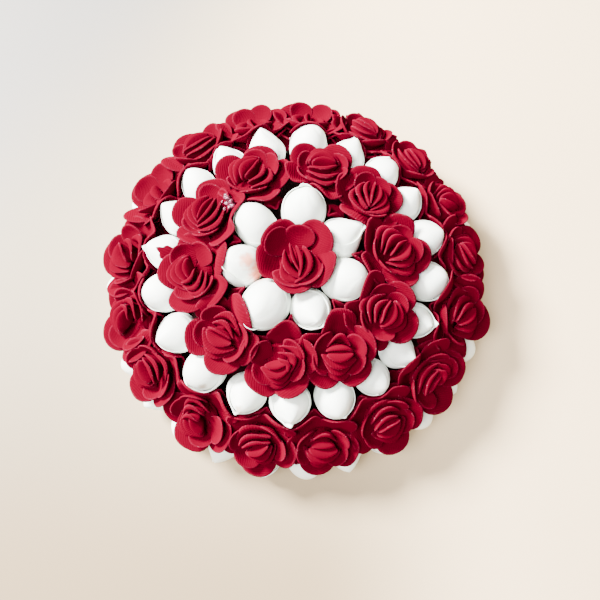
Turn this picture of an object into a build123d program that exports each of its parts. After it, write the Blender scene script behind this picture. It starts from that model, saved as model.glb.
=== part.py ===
from build123d import *
import os
from collections import namedtuple
from math import acos, asin, atan2, cos, degrees, pi, radians, sin, sqrt, tan

# Hair bun cover of artificial flowers. A domed cap carries one rose on its crown, and round it
# five rings by turns of small white buds and red cloth roses. Each flower stands on its own foot.
# Millimetres, +Z up. The cap's rim lies on Z = 0, and the middle of the dome is the Z axis.
# A turn is the angle round Z in degrees, counterclockwise from +X as seen from above.

# Cap
cap_radius = 48.0
cap_height = 36.0
cap_wall = 2.0
cap_shoulder_share = 0.83

# Clearances
seat_gap = 0.3
side_gap = 0.4

# Roses
crown_rose_width = 20.8
rose_height = 14.0
outer_petal_height = 11.0
outer_petal_angle = 38.0
inner_petal_height = 12.4
inner_petal_angle = 64.0
heart_depth = 3.9
stem_radius = 3.0
petal_layer_step = 1.8
petal_wall = 1.1
fold_wall = 1.1
lobe_count = 5
fold_count = 4

# Buds
bud_width = 12.0
bud_length = 13.4
bud_neck_radius = 1.5
bud_tip_radius = 0.4
bud_wrap_wall = 0.5
bud_wrap_slant = 24.0
rim_bud_first_turn = 273.0

# Where the rings stand: each foot's distance from the Z axis, as a share of the cap's radius.
inner_buds_out = 0.275
inner_roses_out = 0.51
middle_buds_out = 0.73
outer_roses_out = 0.91

# The roses of the outer ring stand more upright than the cap's normal, on top of the rim's buds.
inner_rose_lean = 0
outer_rose_lean = -15

# A rose: its turn, its size beside its neighbours' sizes, and the turn that its folds run along.
Rose = namedtuple("Rose", "turn size folds")
crown_rose_folds = 100
inner_roses = [
    Rose(115, 1.00, 60),
    Rose(74, 1.00, 5),
    Rose(41, 1.00, 70),
    Rose(6, 1.00, 35),
    Rose(329, 1.00, 60),
    Rose(295, 1.00, 170),
    Rose(261, 1.00, 120),
    Rose(226, 1.00, 150),
    Rose(186, 1.00, 95),
    Rose(150, 1.00, 65),
]
outer_roses = [
    Rose(105, 1.00, 30),
    Rose(85, 1.00, 100),
    Rose(65, 1.00, 150),
    Rose(45, 1.00, 110),
    Rose(26, 1.00, 20),
    Rose(7, 1.00, 170),
    Rose(346, 1.00, 25),
    Rose(322, 1.00, 60),
    Rose(301, 1.00, 20),
    Rose(279, 1.00, 160),
    Rose(258, 1.00, 30),
    Rose(237, 1.00, 110),
    Rose(214, 1.00, 120),
    Rose(195, 1.00, 80),
    Rose(173, 1.00, 130),
    Rose(148, 1.00, 50),
    Rose(126, 1.00, 20),
]

# A bud: its turn, its size beside its neighbours' sizes, and how far its tip leans outward from
# the cap's normal, in degrees.
Bud = namedtuple("Bud", "turn size lean")
inner_buds = [
    Bud(80, 1.00, 10),
    Bud(27, 1.00, 40),
    Bud(338, 1.00, 24),
    Bud(288, 0.98, 30),
    Bud(238, 1.08, 30),
    Bud(186, 0.98, 8),
    Bud(137, 1.00, 30),
]
middle_bud_lean = 14
middle_bud_turns = [
    103, 84, 66, 49, 32, 14, 355, 337, 321, 305,
    287, 268, 249, 229, 209, 190, 172, 155, 138, 121,
]
rim_bud_lean = 4

# Shares that give a rose its form: of its half width, and of its height.
lobe_radius_share = 0.47
inner_layer_share = 0.76
petal_blank_share = 1.1
neck_flare = 1.25
heart_edge_share = 0.86
heart_blank_share = 1.2
fold_margin_share = 0.4
fold_spread = 1.15
fold_gather = 0.80

# Share of a bud's half width, from its belly up to its wrapped rim.
bud_wrap_rim_share = 0.33


# The dome's profile is a shoulder arc, upright at the rim, that runs on into a wider crown arc.
shoulder_radius = cap_shoulder_share * cap_height
shoulder_out = cap_radius - shoulder_radius
crown_radius = (cap_radius**2 + cap_height**2 - 2 * cap_radius * shoulder_radius) / (
    2 * (cap_height - shoulder_radius)
)
crown_drop = cap_height - crown_radius
join_slope = atan2(shoulder_out, -crown_drop)


def cap_seat(out_share, lift):
    """Distance from Z, height and slope of the point that stands off the cap by lift."""
    out = cap_radius * out_share
    if out < crown_radius * sin(join_slope):
        middle_out, middle_up, radius = 0, crown_drop, crown_radius
    else:
        middle_out, middle_up, radius = shoulder_out, 0, shoulder_radius
    slope = asin((out - middle_out) / radius)
    return middle_out + (radius + lift) * sin(slope), middle_up + (radius + lift) * cos(slope), slope


def flower_plane(out_share, lift, turn, lean):
    """Plane of a flower: its normal is the flower's axis and its X runs round the ring."""
    out, up, slope = cap_seat(out_share, lift)
    tilt = slope + radians(lean)
    east, north = cos(radians(turn)), sin(radians(turn))
    axis = (sin(tilt) * east, sin(tilt) * north, cos(tilt))
    return Plane(origin=(out * east, out * north, up), x_dir=(-north, east, 0), z_dir=axis)


def fold_turn(place, folds):
    """Angle in a flower's own plane of the folds that run along the turn called folds."""
    along = Vector(cos(radians(folds)), sin(radians(folds)), 0)
    return degrees(atan2(along.dot(place.y_dir), along.dot(place.x_dir)))


def half_widths(turns, sizes, out, widest, reach):
    """Half width of each flower in a ring: neighbours part the room between them by their sizes.

    Reach is how far apart two flowers stand, as a share of the width of both.
    """
    halves = []
    for i in range(len(turns)):
        rooms = [widest * sizes[i]]
        for j in (i - 1, (i + 1) % len(turns)):
            apart = 2 * out * abs(sin(radians(turns[i] - turns[j]) / 2))
            rooms.append((apart - side_gap) / reach * sizes[i] / (sizes[i] + sizes[j]))
        halves.append(min(rooms))
    return halves


def lobe_reach():
    """How near two roses may stand with a lobe of one between two lobes of the other."""
    lobe_out = 1 - lobe_radius_share
    half_lobe = pi / lobe_count
    beside = sqrt((2 * lobe_radius_share) ** 2 - (lobe_out * sin(half_lobe)) ** 2)
    return (lobe_out * (1 + cos(half_lobe)) + beside) / 2


def rose_lift(lean):
    """How far a leaning rose's foot stands off the cap, so that its stem's edge clears the cap."""
    return seat_gap + stem_radius * sin(radians(abs(lean)))


def petal_room(rose_out_share, rose_lean, bud_out_share, bud_half_width):
    """How far a rose's outer petals may reach towards a bud that lies in line with it."""
    out, up, slope = cap_seat(rose_out_share, rose_lift(rose_lean))
    tilt = slope + radians(rose_lean)
    bud_out, bud_up, _ = cap_seat(bud_out_share, seat_gap + bud_half_width)
    beside = Vector(bud_out - out, bud_up - up)
    along = beside.dot(Vector(sin(tilt), cos(tilt)))
    across = sqrt(beside.length**2 - along**2)
    angle = radians(outer_petal_angle)
    overhang = (outer_petal_height - along) * cos(angle)
    return across - (bud_half_width + seat_gap - overhang) / sin(angle)


def petal_layer(half_width, rim_height, top_height, angle, foot_height, floor_height, lobe_turn):
    """One flared layer of petals: a cone's wall whose outline is cut into round lobes."""
    rise = tan(radians(angle))
    wall_up = petal_wall / cos(radians(angle))
    beyond = petal_blank_share * half_width
    beyond_height = rim_height + (beyond - half_width) * rise
    foot_out = half_width - (rim_height - foot_height) / rise
    floor_out = half_width - (rim_height + wall_up - floor_height) / rise
    lobe_radius = lobe_radius_share * half_width
    with BuildPart() as layer:
        with BuildSketch(Plane.XZ):
            with BuildLine():
                edge = (beyond, beyond_height + wall_up)
                under = Polyline((0, foot_height), (foot_out, foot_height), (beyond, beyond_height))
                over = Polyline(edge, (floor_out, floor_height), (0, floor_height))
                Line(under @ 1, over @ 0)
                Line(over @ 1, under @ 0)
            make_face()
        revolve(axis=Axis.Z)
        with BuildSketch():
            Circle(half_width - lobe_radius)
            with PolarLocations(half_width - lobe_radius, lobe_count, lobe_turn):
                Circle(lobe_radius)
        extrude(amount=top_height, mode=Mode.INTERSECT)
    return layer.part


def rose_heart(heart_radius, floor_height, folds_along):
    """Upright folds side by side in the middle of a rose, under a rounded top."""
    pitch = 2 * heart_radius / (fold_count + fold_margin_share)
    heart_foot = floor_height - petal_wall / 2
    edge_out = heart_blank_share * heart_radius
    with BuildPart() as heart:
        with BuildSketch(Plane.XY.offset(heart_foot).rotated((0, 0, folds_along))):
            for place in range(fold_count):
                middle = (place - (fold_count - 1) / 2) * pitch
                reach = sqrt(heart_radius**2 - (fold_gather * middle) ** 2)
                ends = [(-reach, fold_gather * middle), (reach, fold_gather * middle)]
                with BuildLine():
                    ThreePointArc(ends[0], (0, fold_spread * middle + fold_wall / 2), ends[1])
                    ThreePointArc(ends[0], (0, fold_spread * middle - fold_wall / 2), ends[1])
                make_face()
        extrude(amount=rose_height)
        with BuildSketch(Plane.XZ):
            with BuildLine():
                corner = (edge_out, heart_edge_share * rose_height)
                side = Polyline((0, 0), (edge_out, 0), corner)
                top = TangentArc((0, rose_height), side @ 1, tangent=(1, 0))
                Line(top @ 0, side @ 0)
            make_face()
        revolve(axis=Axis.Z, mode=Mode.INTERSECT)
    return heart.part


def rose_body(half_width, folds_along):
    """A whole rose that stands on Z = 0: stem, two layers of petals and the folded heart."""
    outer_rise = tan(radians(outer_petal_angle))
    inner_rise = tan(radians(inner_petal_angle))
    inner_half = inner_layer_share * half_width
    outer_foot = outer_petal_height - (half_width - stem_radius) * outer_rise
    inner_foot = outer_foot + petal_layer_step
    heart_floor = rose_height - heart_depth
    inner_lean_out = (inner_petal_height - heart_floor) / inner_rise
    inner_wall_out = petal_wall / sin(radians(inner_petal_angle))
    heart_radius = inner_half - inner_lean_out - inner_wall_out - seat_gap
    upright = (Align.CENTER, Align.CENTER, Align.MIN)
    with BuildPart() as rose:
        Cone(stem_radius, neck_flare * stem_radius, inner_foot, align=upright)
        add(petal_layer(
            half_width, outer_petal_height, rose_height, outer_petal_angle,
            outer_foot, inner_foot + seat_gap, 0,
        ))
        add(petal_layer(
            inner_half, inner_petal_height, inner_petal_height + petal_wall, inner_petal_angle,
            inner_foot, heart_floor, 180 / lobe_count,
        ))
        add(rose_heart(heart_radius, heart_floor, folds_along))
    return rose.part


def bud_shape(half_width, tip_height):
    """A ball on a flat neck that runs out into a cone with its tip up. The ball's middle is the origin."""
    neck_turn = degrees(-acos(bud_neck_radius / half_width))
    tip_reach = sqrt(bud_tip_radius**2 + tip_height**2)
    cone_turn = degrees(atan2(tip_height, bud_tip_radius) - acos(half_width / tip_reach))
    with BuildPart() as shape:
        with BuildSketch(Plane.XZ):
            with BuildLine():
                ball = CenterArc((0, 0), half_width, neck_turn, cone_turn - neck_turn)
                neck = ball @ 0
                Polyline(ball @ 1, (bud_tip_radius, tip_height), (0, tip_height), (0, neck.Y), neck)
            make_face()
        revolve(axis=Axis.Z)
    return shape.part


def bud_body(half_width):
    """A bud in one piece: its kernel, and the petal wrapped round it up to a slanted rim."""
    neck_depth = sqrt(half_width**2 - bud_neck_radius**2)
    tip_height = bud_length * half_width / (bud_width / 2) - neck_depth
    slant = radians(bud_wrap_slant)
    rim = Plane((0, 0, bud_wrap_rim_share * half_width), z_dir=(0, sin(slant), cos(slant)))
    with BuildPart() as bud:
        add(bud_shape(half_width, tip_height))
        split(bisect_by=rim, keep=Keep.BOTTOM)
        add(bud_shape(half_width - bud_wrap_wall, tip_height))
    return bud.part


def write_node(part, name):
    """Label a finished piece and write it."""
    part.label = name
    export_step(part, f"parts/{name}.step")


os.makedirs("parts", exist_ok=True)

# Cap: a hollow dome, open below, with a flat rim. Its inside runs level with its outside.
with BuildPart() as cap:
    with BuildSketch(Plane.XZ):
        with BuildLine():
            rims = []
            crowns = []
            for inset in (0, cap_wall):
                join_out = shoulder_out + (shoulder_radius - inset) * sin(join_slope)
                join_up = (shoulder_radius - inset) * cos(join_slope)
                shoulder = TangentArc((cap_radius - inset, 0), (join_out, join_up), tangent=(0, 1))
                crown = TangentArc((0, cap_height - inset), shoulder @ 1, tangent=(1, 0))
                rims.append(shoulder @ 0)
                crowns.append(crown @ 0)
            Line(rims)
            Line(crowns)
        make_face()
    revolve(axis=Axis.Z)
write_node(cap.part, "backing_cap")

# Crown rose
crown_place = flower_plane(0, seat_gap, 0, 0)
with BuildPart() as crown_rose:
    with Locations(crown_place):
        add(rose_body(crown_rose_width / 2, fold_turn(crown_place, crown_rose_folds)))
write_node(crown_rose.part, "crown_rose")

# Two rings of roses, each as wide as its neighbours and the buds beside it leave room for
belly_lift = seat_gap + bud_width / 2
beside_inner_buds = (inner_buds_out, bud_width / 2 * max(bud.size for bud in inner_buds))
beside_middle_buds = (middle_buds_out, bud_width / 2)
for ring_name, roses, out_share, lean, buds_beside in [
    ("inner_rose", inner_roses, inner_roses_out, inner_rose_lean, [beside_inner_buds, beside_middle_buds]),
    ("outer_rose", outer_roses, outer_roses_out, outer_rose_lean, [beside_middle_buds]),
]:
    widest = min(petal_room(out_share, lean, *bud) for bud in buds_beside)
    lift = rose_lift(lean)
    foot_out, _, slope = cap_seat(out_share, lift)
    head_out = foot_out + outer_petal_height * sin(slope + radians(lean))
    turns = [rose.turn for rose in roses]
    sizes = [rose.size for rose in roses]
    halves = half_widths(turns, sizes, head_out, widest, lobe_reach())
    for number, (rose, half_width) in enumerate(zip(roses, halves), 1):
        place = flower_plane(out_share, lift, rose.turn, lean)
        with BuildPart() as ring_rose:
            with Locations(place):
                add(rose_body(half_width, fold_turn(place, rose.folds)))
        write_node(ring_rose.part, f"{ring_name}_{number:02d}")

# Inner ring of buds, between the crown rose and the inner roses
turns = [bud.turn for bud in inner_buds]
sizes = [bud.size for bud in inner_buds]
halves = half_widths(turns, sizes, cap_seat(inner_buds_out, belly_lift)[0], bud_width / 2, 1)
for number, (bud, half_width) in enumerate(zip(inner_buds, halves), 1):
    with BuildPart() as inner_bud:
        with Locations(flower_plane(inner_buds_out, seat_gap + half_width, bud.turn, bud.lean)):
            add(bud_body(half_width))
    write_node(inner_bud.part, f"inner_bud_{number}")

# Middle ring of buds, between the two rings of roses
sizes = [1] * len(middle_bud_turns)
halves = half_widths(middle_bud_turns, sizes, cap_seat(middle_buds_out, belly_lift)[0], bud_width / 2, 1)
with BuildPart() as middle_buds:
    for turn, half_width in zip(middle_bud_turns, halves):
        with Locations(flower_plane(middle_buds_out, seat_gap + half_width, turn, middle_bud_lean)):
            add(bud_body(half_width))
write_node(middle_buds.part, "middle_buds")

# Ring of buds along the rim, under the outer roses
rim_bud = bud_body(bud_width / 2)
rim_buds_out = (shoulder_out + sqrt(shoulder_radius**2 - (bud_width / 2) ** 2)) / cap_radius
rim_bud_count = int(2 * pi * cap_seat(rim_buds_out, belly_lift)[0] / (bud_width + side_gap))
with BuildPart() as rim_buds:
    for number in range(rim_bud_count):
        turn = rim_bud_first_turn + number * 360 / rim_bud_count
        with Locations(flower_plane(rim_buds_out, belly_lift, turn, rim_bud_lean)):
            add(rim_bud)
write_node(rim_buds.part, "rim_buds")
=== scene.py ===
import math
from collections import namedtuple

import bpy
import numpy as np
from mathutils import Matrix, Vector


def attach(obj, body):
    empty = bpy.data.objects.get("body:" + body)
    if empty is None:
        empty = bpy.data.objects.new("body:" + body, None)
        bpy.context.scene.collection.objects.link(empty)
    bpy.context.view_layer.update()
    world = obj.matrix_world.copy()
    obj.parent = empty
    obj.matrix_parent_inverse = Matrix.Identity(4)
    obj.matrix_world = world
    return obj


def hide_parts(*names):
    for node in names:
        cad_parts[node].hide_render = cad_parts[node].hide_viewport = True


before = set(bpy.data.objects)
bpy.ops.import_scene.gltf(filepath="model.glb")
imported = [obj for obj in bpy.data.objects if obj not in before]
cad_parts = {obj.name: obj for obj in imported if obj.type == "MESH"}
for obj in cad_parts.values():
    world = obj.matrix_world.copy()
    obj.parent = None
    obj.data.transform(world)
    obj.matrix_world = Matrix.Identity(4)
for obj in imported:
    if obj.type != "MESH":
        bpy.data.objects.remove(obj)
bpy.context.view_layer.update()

# Hair bun cover of artificial flowers: red velvet roses and white foam buds in rings on a cloth cap.
# Lengths are in millimetres but where a comment says otherwise, and MM turns them into metres.
# A turn is an angle round Z in degrees, counterclockwise from +X as seen from above.
MM = 0.001
rng = np.random.default_rng(7)

# Cap, and where the rings of flowers stand on it: shares of the cap's radius
CAP_RADIUS = 48.0
CAP_HEIGHT = 36.0
CAP_WALL = 2.0
CAP_SHOULDER_SHARE = 0.83
SEAT_GAP = 0.3
SIDE_GAP = 0.4
INNER_BUDS_OUT = 0.275
INNER_ROSES_OUT = 0.51
MIDDLE_BUDS_OUT = 0.73
OUTER_ROSES_OUT = 0.91
OUTER_ROSE_LEAN = -15.0

# Flowers
ROSE_HEIGHT = 14.0
LOBE_HEIGHT = 11.0
LOBE_ANGLE = 42
LOBE_COUNT = 5
LOBE_DOWNHILL = 0.08
CUP_HEIGHT = 12.4
CUP_TURNS = (-28, 30, 152, 208)
FOLD_TOP_GAP = 0.4
FOLD_HEIGHT = 4.6
STEM_RADIUS = 3.0
PETAL_THICK = 0.78
FOLD_THICK = 0.88
BUD_WIDTH = 12.0
BUD_NECK_RADIUS = 1.5
BUD_NECK_SHARE = 0.97
BUD_LENGTH = 13.4
BUD_TIP_SHARE = BUD_LENGTH / (BUD_WIDTH / 2) - BUD_NECK_SHARE
RIM_BUD_FIRST_TURN = 273.0
RIM_BUD_COUNT = 27
MIDDLE_BUD_LEAN = 14
RIM_BUD_LEAN = 4

# Camera in millimetres, and its clip distances, the floor and the lamps in metres
CAMERA_PLACE = (1.5, -54.6, 250.0)
CAMERA_TILT = 11.7
CAMERA_LENS = 45.9
CAMERA_SENSOR = 36.0
CAMERA_CLIP = (0.01, 10)
FLOOR_HALF = 1.2
FLOOR_DROP = 0.0003
SKY_COLOUR = (1.0, 0.95, 0.89)
SKY_STRENGTH = 0.72
Lamp = namedtuple("Lamp", "name place aim size power colour")
LAMPS = [
    Lamp("window_light", (-0.52, 0.30, 0.60), (0, 0, 0.02), 0.26, 82.0, (1.0, 0.985, 0.96)),
    Lamp("room_light", (-0.40, -0.25, 1.1), (0, 0, 0), 0.6, 34.0, (1.0, 0.99, 0.98)),
]

# Colours, as shares of the light that they give back; a pair has its dark tone first
VELVET_PILE = ((0.060, 0.0, 0.0048), (0.086, 0.0, 0.0072))
VELVET_THREAD = (0.112, 0.0, 0.0100)
VELVET_EDGE = (0.30, 0.030, 0.070)
VELVET_LINT = (0.62, 0.30, 0.38)
VELVET_SHEEN = (1.0, 0.25, 0.32, 1)
FOAM_TONES = ((0.85, 0.91, 0.84), (0.91, 0.95, 0.88))
CAP_TONES = ((0.006, 0.0006, 0.0010), (0.013, 0.0012, 0.0021))
CAP_THREAD = (0.026, 0.0022, 0.0037)
GLUE_TONES = ((0.05, 0.001, 0.008), (0.20, 0.045, 0.085))
# The floor's tones hold painted light and shade: painted shade on its left side, painted light on its right
# side, painted shade in the far left corner and in front of the dome
FLOOR_LEFT_PAINTED_SHADE = ((0.274, 0.222, 0.148), (0.296, 0.241, 0.163))
FLOOR_RIGHT_PAINTED_LIGHT = ((0.704, 0.537, 0.326), (0.726, 0.556, 0.341))
FLOOR_CORNER_PAINTED_SHADE = ((0.185, 0.174, 0.159), (0.200, 0.189, 0.174))
FLOOR_FRONT_PAINTED_SHADE = ((0.193, 0.133, 0.063), (0.215, 0.148, 0.070))


# Places

SHOULDER_RADIUS = CAP_SHOULDER_SHARE * CAP_HEIGHT
SHOULDER_OUT = CAP_RADIUS - SHOULDER_RADIUS
CROWN_RADIUS = (CAP_RADIUS**2 + CAP_HEIGHT**2 - 2 * CAP_RADIUS * SHOULDER_RADIUS) / (
    2 * (CAP_HEIGHT - SHOULDER_RADIUS)
)
CROWN_DROP = CAP_HEIGHT - CROWN_RADIUS
JOIN_SLOPE = math.atan2(SHOULDER_OUT, -CROWN_DROP)

Place = namedtuple("Place", "middle sideways inward axis")


def cap_seat(out_share, lift):
    """Distance from Z, height and slope of the point that stands off the cap by lift."""
    out = CAP_RADIUS * out_share
    if out < CROWN_RADIUS * math.sin(JOIN_SLOPE):
        middle_out, middle_up, radius = 0, CROWN_DROP, CROWN_RADIUS
    else:
        middle_out, middle_up, radius = SHOULDER_OUT, 0, SHOULDER_RADIUS
    slope = math.asin((out - middle_out) / radius)
    reach = radius + lift
    return middle_out + reach * math.sin(slope), middle_up + reach * math.cos(slope), slope


def flower_place(out_share, lift, turn, lean=0.0):
    """Where a flower stands: its middle, and its sideways, inward and axis directions."""
    out, up, slope = cap_seat(out_share, lift)
    tilt = slope + math.radians(lean)
    east, north = math.cos(math.radians(turn)), math.sin(math.radians(turn))
    axis = np.array((math.sin(tilt) * east, math.sin(tilt) * north, math.cos(tilt)))
    sideways = np.array((-north, east, 0.0))
    return Place(np.array((out * east, out * north, up)), sideways, np.cross(axis, sideways), axis)


def in_place(place, points):
    """Points of a flower's own space, brought to where it stands."""
    return (
        place.middle
        + points[:, 0:1] * place.sideways
        + points[:, 1:2] * place.inward
        + points[:, 2:3] * place.axis
    )


def turn_in_place(place, turn):
    """A turn round Z in degrees, as an angle round the flower's own axis in radians."""
    away = np.array((math.cos(math.radians(turn)), math.sin(math.radians(turn)), 0.0))
    return math.atan2(away @ place.inward, away @ place.sideways)


def widest_of(node, place):
    """Largest distance of a node's surface from the flower's axis, in millimetres."""
    points = np.array([v.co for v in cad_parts[node].data.vertices]) / MM - place.middle
    return float(np.hypot(points @ place.sideways, points @ place.inward).max())


# Cloth and foam as closed sheets


class Gather:
    """Points, faces and surface maps of one piece, gathered sheet by sheet."""

    def __init__(self):
        self.points, self.faces, self.grain, self.edge = [], [], [], []
        self.count = 0

    def add(self, points, faces, grain, edge):
        self.points.append(points)
        self.faces.extend([[i + self.count for i in face] for face in faces])
        self.grain.append(grain)
        self.edge.append(edge)
        self.count += len(points)


DISC_RINGS = np.array((0.0, 0.26, 0.5, 0.7, 0.86, 0.96, 1.0))
DISC_SPOKES = 32


def disc_net():
    """A round net: across, along and rim share of its points, and its faces."""
    turns = np.arange(DISC_SPOKES) * 2 * np.pi / DISC_SPOKES
    across = np.concatenate([[0.0]] + [r * np.cos(turns) for r in DISC_RINGS[1:]])
    along = np.concatenate([[0.0]] + [r * np.sin(turns) for r in DISC_RINGS[1:]])
    rim = np.concatenate([[0.0]] + [np.full(DISC_SPOKES, r) for r in DISC_RINGS[1:]])
    faces = [[0, 1 + k, 1 + (k + 1) % DISC_SPOKES] for k in range(DISC_SPOKES)]
    for ring in range(len(DISC_RINGS) - 2):
        low = 1 + ring * DISC_SPOKES
        for k in range(DISC_SPOKES):
            n = (k + 1) % DISC_SPOKES
            faces.append([low + k, low + DISC_SPOKES + k, low + DISC_SPOKES + n, low + n])
    return across, along, rim, faces


DISC_ACROSS, DISC_ALONG, DISC_RIM, DISC_FACES = disc_net()
DISC_FANS = np.array([face for face in DISC_FACES if len(face) == 3])
DISC_QUADS = np.array([face for face in DISC_FACES if len(face) == 4])


def sheet_normals(points):
    """Normals at the points of a shaped disc."""
    corners = [points[DISC_FANS[:, k]] for k in range(3)]
    fans = np.cross(corners[1] - corners[0], corners[2] - corners[0])
    corners = [points[DISC_QUADS[:, k]] for k in range(4)]
    quads = np.cross(corners[2] - corners[0], corners[3] - corners[1])
    normals = np.zeros_like(points)
    for k in range(3):
        np.add.at(normals, DISC_FANS[:, k], fans)
    for k in range(4):
        np.add.at(normals, DISC_QUADS[:, k], quads)
    return normals / np.maximum(np.linalg.norm(normals, axis=1, keepdims=True), 1e-9)


# The egg that each bud fills: its middle, axis, half width and half length
Egg = namedtuple("Egg", "middle axis half_width half_length")
EGG_RISE = 0.12
EGG_WIDTH = 1.05
EGG_LENGTH = 1.17
PUSH_DEPTH = 0.55
eggs = []


def bud_egg(place, half_width):
    """The egg that a bud fills."""
    middle = place.middle + EGG_RISE * half_width * place.axis
    return Egg(middle, place.axis, EGG_WIDTH * half_width, EGG_LENGTH * half_width)


def clear_of_buds(points, gap, up):
    """Cloth laid over the buds that it would enter: pushed out from low inside each egg, so mostly up."""
    for egg in eggs:
        if np.linalg.norm(points - egg.middle, axis=1).min() > 2 * egg.half_width:
            continue
        half_width, half_length = egg.half_width + gap, egg.half_length + gap

        def in_egg(vectors):
            along = (vectors @ egg.axis)[:, None]
            return vectors / half_width + along * egg.axis * (1 / half_length - 1 / half_width)

        low = -PUSH_DEPTH * egg.half_width * up
        start = in_egg(low[None, :])[0]
        apart = points - egg.middle - low
        ray = in_egg(apart)
        a = np.maximum((ray**2).sum(1), 1e-6)
        b = ray @ start
        push = (np.sqrt(b**2 + a * (1 - start @ start)) - b) / a
        lifted = (np.minimum(push, 3.0) ** 10 + 1) ** 0.1
        points = egg.middle + low + apart * np.where(push > 0.7, lifted, 1)[:, None]
    return points


def add_petal(gather, place, shape, thick, grain_turn, flat_size):
    """One closed petal: a shaped disc with two faces and a round rim between them."""
    middle = clear_of_buds(in_place(place, shape(DISC_ACROSS, DISC_ALONG)), thick / 2 + 0.1, place.axis)
    normals = sheet_normals(middle)
    half = (thick / 2 * (1 - 0.45 * DISC_RIM**8))[:, None]
    rims = np.arange(len(DISC_RIM) - DISC_SPOKES, len(DISC_RIM))
    outward = middle[rims] - middle[rims - DISC_SPOKES]
    outward /= np.maximum(np.linalg.norm(outward, axis=1, keepdims=True), 1e-9)
    lip = middle[rims] + outward * thick * 0.4
    count = len(middle)
    points = np.concatenate([middle + normals * half, middle - normals * half, lip])
    faces = [list(f) for f in DISC_FACES]
    faces += [[i + count for i in reversed(f)] for f in DISC_FACES]
    for k in range(DISC_SPOKES):
        n = (k + 1) % DISC_SPOKES
        front, front_next = rims[k], rims[n]
        faces.append([front, 2 * count + k, 2 * count + n, front_next])
        faces.append([2 * count + k, front + count, front_next + count, 2 * count + n])
    flat = np.stack([DISC_ACROSS, DISC_ALONG], 1) * flat_size
    c, s = math.cos(grain_turn), math.sin(grain_turn)
    flat = np.stack([c * flat[:, 0] - s * flat[:, 1], s * flat[:, 0] + c * flat[:, 1]], 1)
    grain = np.concatenate([flat, flat, flat[rims]])
    spoke = np.arctan2(DISC_ALONG, DISC_ACROSS) / (2 * np.pi) + 0.5
    edge_map = np.stack([spoke, DISC_RIM], 1)
    lip_map = np.stack([spoke[rims], np.full(DISC_SPOKES, 1.04)], 1)
    gather.add(points, faces, grain, np.concatenate([edge_map, edge_map, lip_map]))


def ring_points(turns, out, up):
    """Points at given turns round the axis, with their distance from it and their height."""
    return np.stack([out * np.cos(turns), out * np.sin(turns), np.full(len(turns), up)], 1)


def turned_faces(ring_count, spokes):
    """Faces of a turned form: a fan at its foot, the rings between, and a fan at its top."""
    faces = [[0, 1 + (k + 1) % spokes, 1 + k] for k in range(spokes)]
    for ring in range(ring_count - 1):
        low = 1 + ring * spokes
        for k in range(spokes):
            n = (k + 1) % spokes
            faces.append([low + k, low + n, low + spokes + n, low + spokes + k])
    low = 1 + (ring_count - 1) * spokes
    return faces + [[low + k, low + (k + 1) % spokes, low + spokes] for k in range(spokes)]


def add_turned(gather, place, profile, spokes=20):
    """A closed turned form from a profile of (out, up) points that ends on the axis at both ends."""
    turns = np.arange(spokes) * 2 * np.pi / spokes
    rings = [np.array([[0, 0, profile[0][1]]])]
    for out, up in profile[1:-1]:
        rings.append(ring_points(turns, out, up))
    rings.append(np.array([[0, 0, profile[-1][1]]]))
    points = np.concatenate(rings)
    faces = turned_faces(len(profile) - 2, spokes)
    gather.add(in_place(place, points), faces, points[:, :2].copy(), np.zeros((len(points), 2)))


# Roses


def pinked(across, along, depth):
    """A disc's points with their rim cut into small teeth."""
    around = np.arctan2(along, across)
    keep = 1 - depth * (0.5 - 0.5 * np.cos(8 * around)) * np.hypot(across, along) ** 6
    return across * keep, along * keep


def lobe_shape(turn, foot, reach, tip_up, half_wide, dish, curl, ruffle, phase, teeth):
    """A broad round petal that flares from the stem: a disc whose far half is the visible lobe."""
    foot_out, foot_up = foot
    away = np.array((math.cos(turn), math.sin(turn)))
    aside = np.array((-math.sin(turn), math.cos(turn)))

    def shape(across, along):
        across, along = pinked(across, along, teeth)
        share = (along + 1) / 2
        rim = np.hypot(across, along)
        around = np.arctan2(along, across)
        rise = 0.45 * share + 0.55 * np.clip(share, 0, 2) ** 2
        out = foot_out + (reach - foot_out) * share * (1.14 - 0.14 * share)
        side = half_wide * across * (0.70 + 0.30 * share)
        up = foot_up + (tip_up - foot_up) * rise
        up = up + dish * half_wide * across**2 * (1 - 0.35 * share)
        roll = np.clip(rim - 0.55, 0, 1) ** 2 * share
        up = up - curl * half_wide * roll * 2.2
        out = out + 0.25 * curl * half_wide * roll * along
        up = up + ruffle * np.sin(4 * around + phase) * rim**4 * share
        out = out + 0.5 * ruffle * np.cos(3 * around + 2 * phase) * rim**4 * share
        xy = out[:, None] * away + side[:, None] * aside
        return np.concatenate([xy, up[:, None]], 1)

    return shape


def cup_shape(turn, foot, reach, tip_up, half_wide, wrap_out, curl, phase):
    """An upright petal that wraps round the heart of the rose like part of a cup."""
    foot_out, foot_up = foot

    def shape(across, along):
        share = (along + 1) / 2
        rim = np.hypot(across, along)
        around = np.arctan2(along, across)
        out = foot_out + (reach - foot_out) * np.sin(np.clip(share, -0.1, 1.1) * np.pi / 2) ** 0.8
        up = foot_up + (tip_up - foot_up) * (0.35 * share + 0.65 * share**1.5)
        roll = np.clip(rim - 0.5, 0, 1) ** 2 * share
        out = out * (1 - 0.08 * across**2) + curl * half_wide * roll * 0.9
        up = up - curl * half_wide * roll * 0.8 + 0.12 * np.sin(3 * around + phase) * rim**4 * share
        angle = turn + half_wide * across / wrap_out
        return ring_points(angle, out, up)

    return shape


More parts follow.
